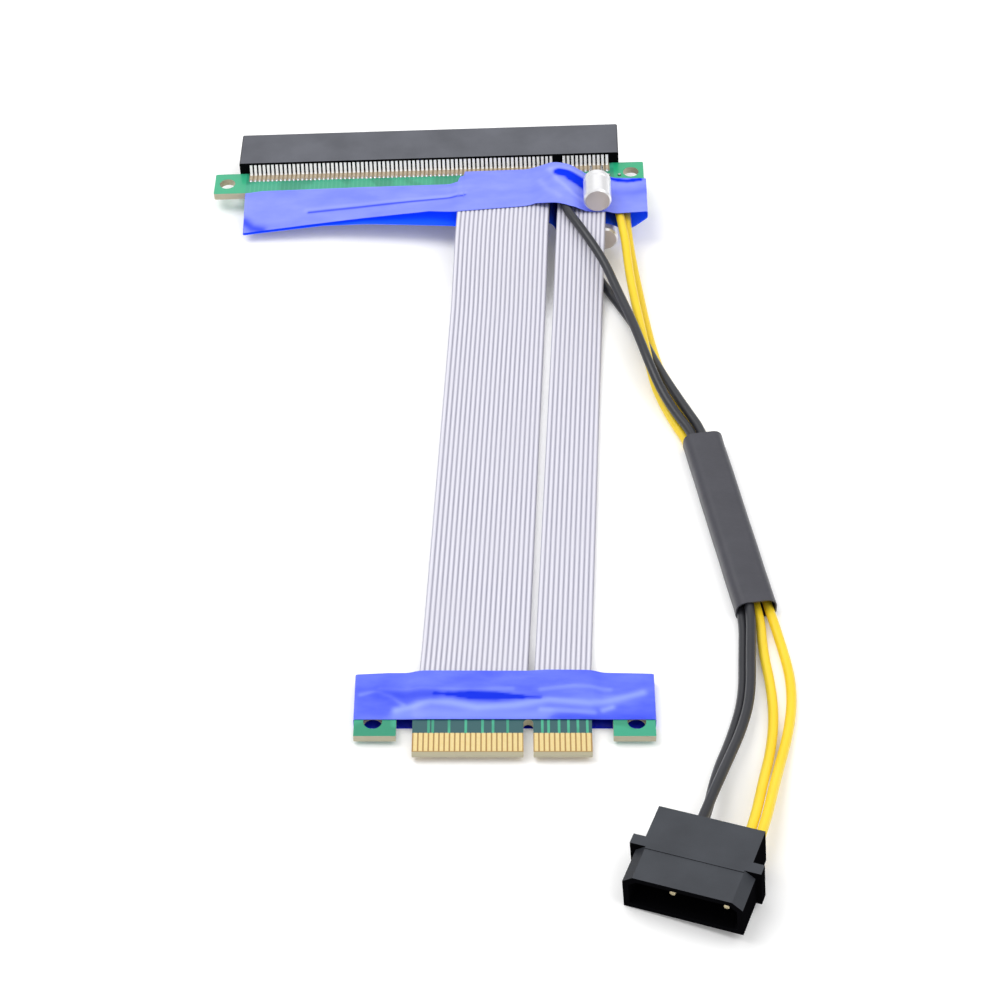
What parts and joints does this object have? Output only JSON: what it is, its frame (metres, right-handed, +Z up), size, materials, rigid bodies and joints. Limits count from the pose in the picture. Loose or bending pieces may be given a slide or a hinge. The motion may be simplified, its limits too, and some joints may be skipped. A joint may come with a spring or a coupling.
{
  "type": "flexible riser card",
  "caption": "Flexible riser card for a server: a long card socket on a board, joined by flat ribbon cables to a narrow edge connector, with wires to a disk-drive power plug.",
  "frame": {"origin": "centre of the box round the two boards and the socket, on the table that the object lies on", "axes": "+Y from the edge connector towards the card socket, +Z up, +X to the right when the edge connector is nearest"},
  "size_m": [0.1239, 0.2262, 0.0165],
  "materials": {
    "laminate": "satin green solder mask over glass fibre board",
    "socket_plastic": "matte black moulded plastic",
    "plug_plastic": "satin near-black moulded plastic",
    "contact_tin": "bright tinned bronze",
    "pad_gold": "polished gold plate",
    "pin_brass": "tinned brass, bright",
    "ribbon_vinyl": "pale grey ribbed vinyl",
    "tape_blue": "glossy translucent blue film",
    "can_aluminium": "satin drawn aluminium",
    "bung_rubber": "matte black rubber",
    "lead_tin": "bright tinned wire",
    "solder": "bright solder",
    "wire_black": "satin black insulation",
    "wire_yellow": "satin yellow insulation",
    "sleeve_black": "satin black shrink tubing"
  },
  "bodies": {
    "root": {"upper_board": "laminate", "lower_board": "laminate", "socket_housing": "socket_plastic", "socket_contacts_top": "contact_tin", "socket_contacts_bottom": "contact_tin", "edge_pads_top": "pad_gold", "edge_pads_bottom": "pad_gold", "ribbon_wide_top": "ribbon_vinyl", "ribbon_wide_bottom": "ribbon_vinyl", "ribbon_narrow_top": "ribbon_vinyl", "ribbon_narrow_bottom": "ribbon_vinyl", "lower_tape": "tape_blue", "upper_tape": "tape_blue", "capacitor_can_top": "can_aluminium", "capacitor_can_bottom": "can_aluminium", "capacitor_bung_top": "bung_rubber", "capacitor_bung_bottom": "bung_rubber", "capacitor_leads_top": "lead_tin", "capacitor_leads_bottom": "lead_tin", "wire_solder_joints": "solder", "black_wire_a": "wire_black", "black_wire_b": "wire_black", "yellow_wire_a": "wire_yellow", "yellow_wire_b": "wire_yellow", "shrink_sleeve": "sleeve_black", "plug_housing": "plug_plastic", "ground_pin": "pin_brass", "supply_pin": "pin_brass"}
  },
  "joints": []
}
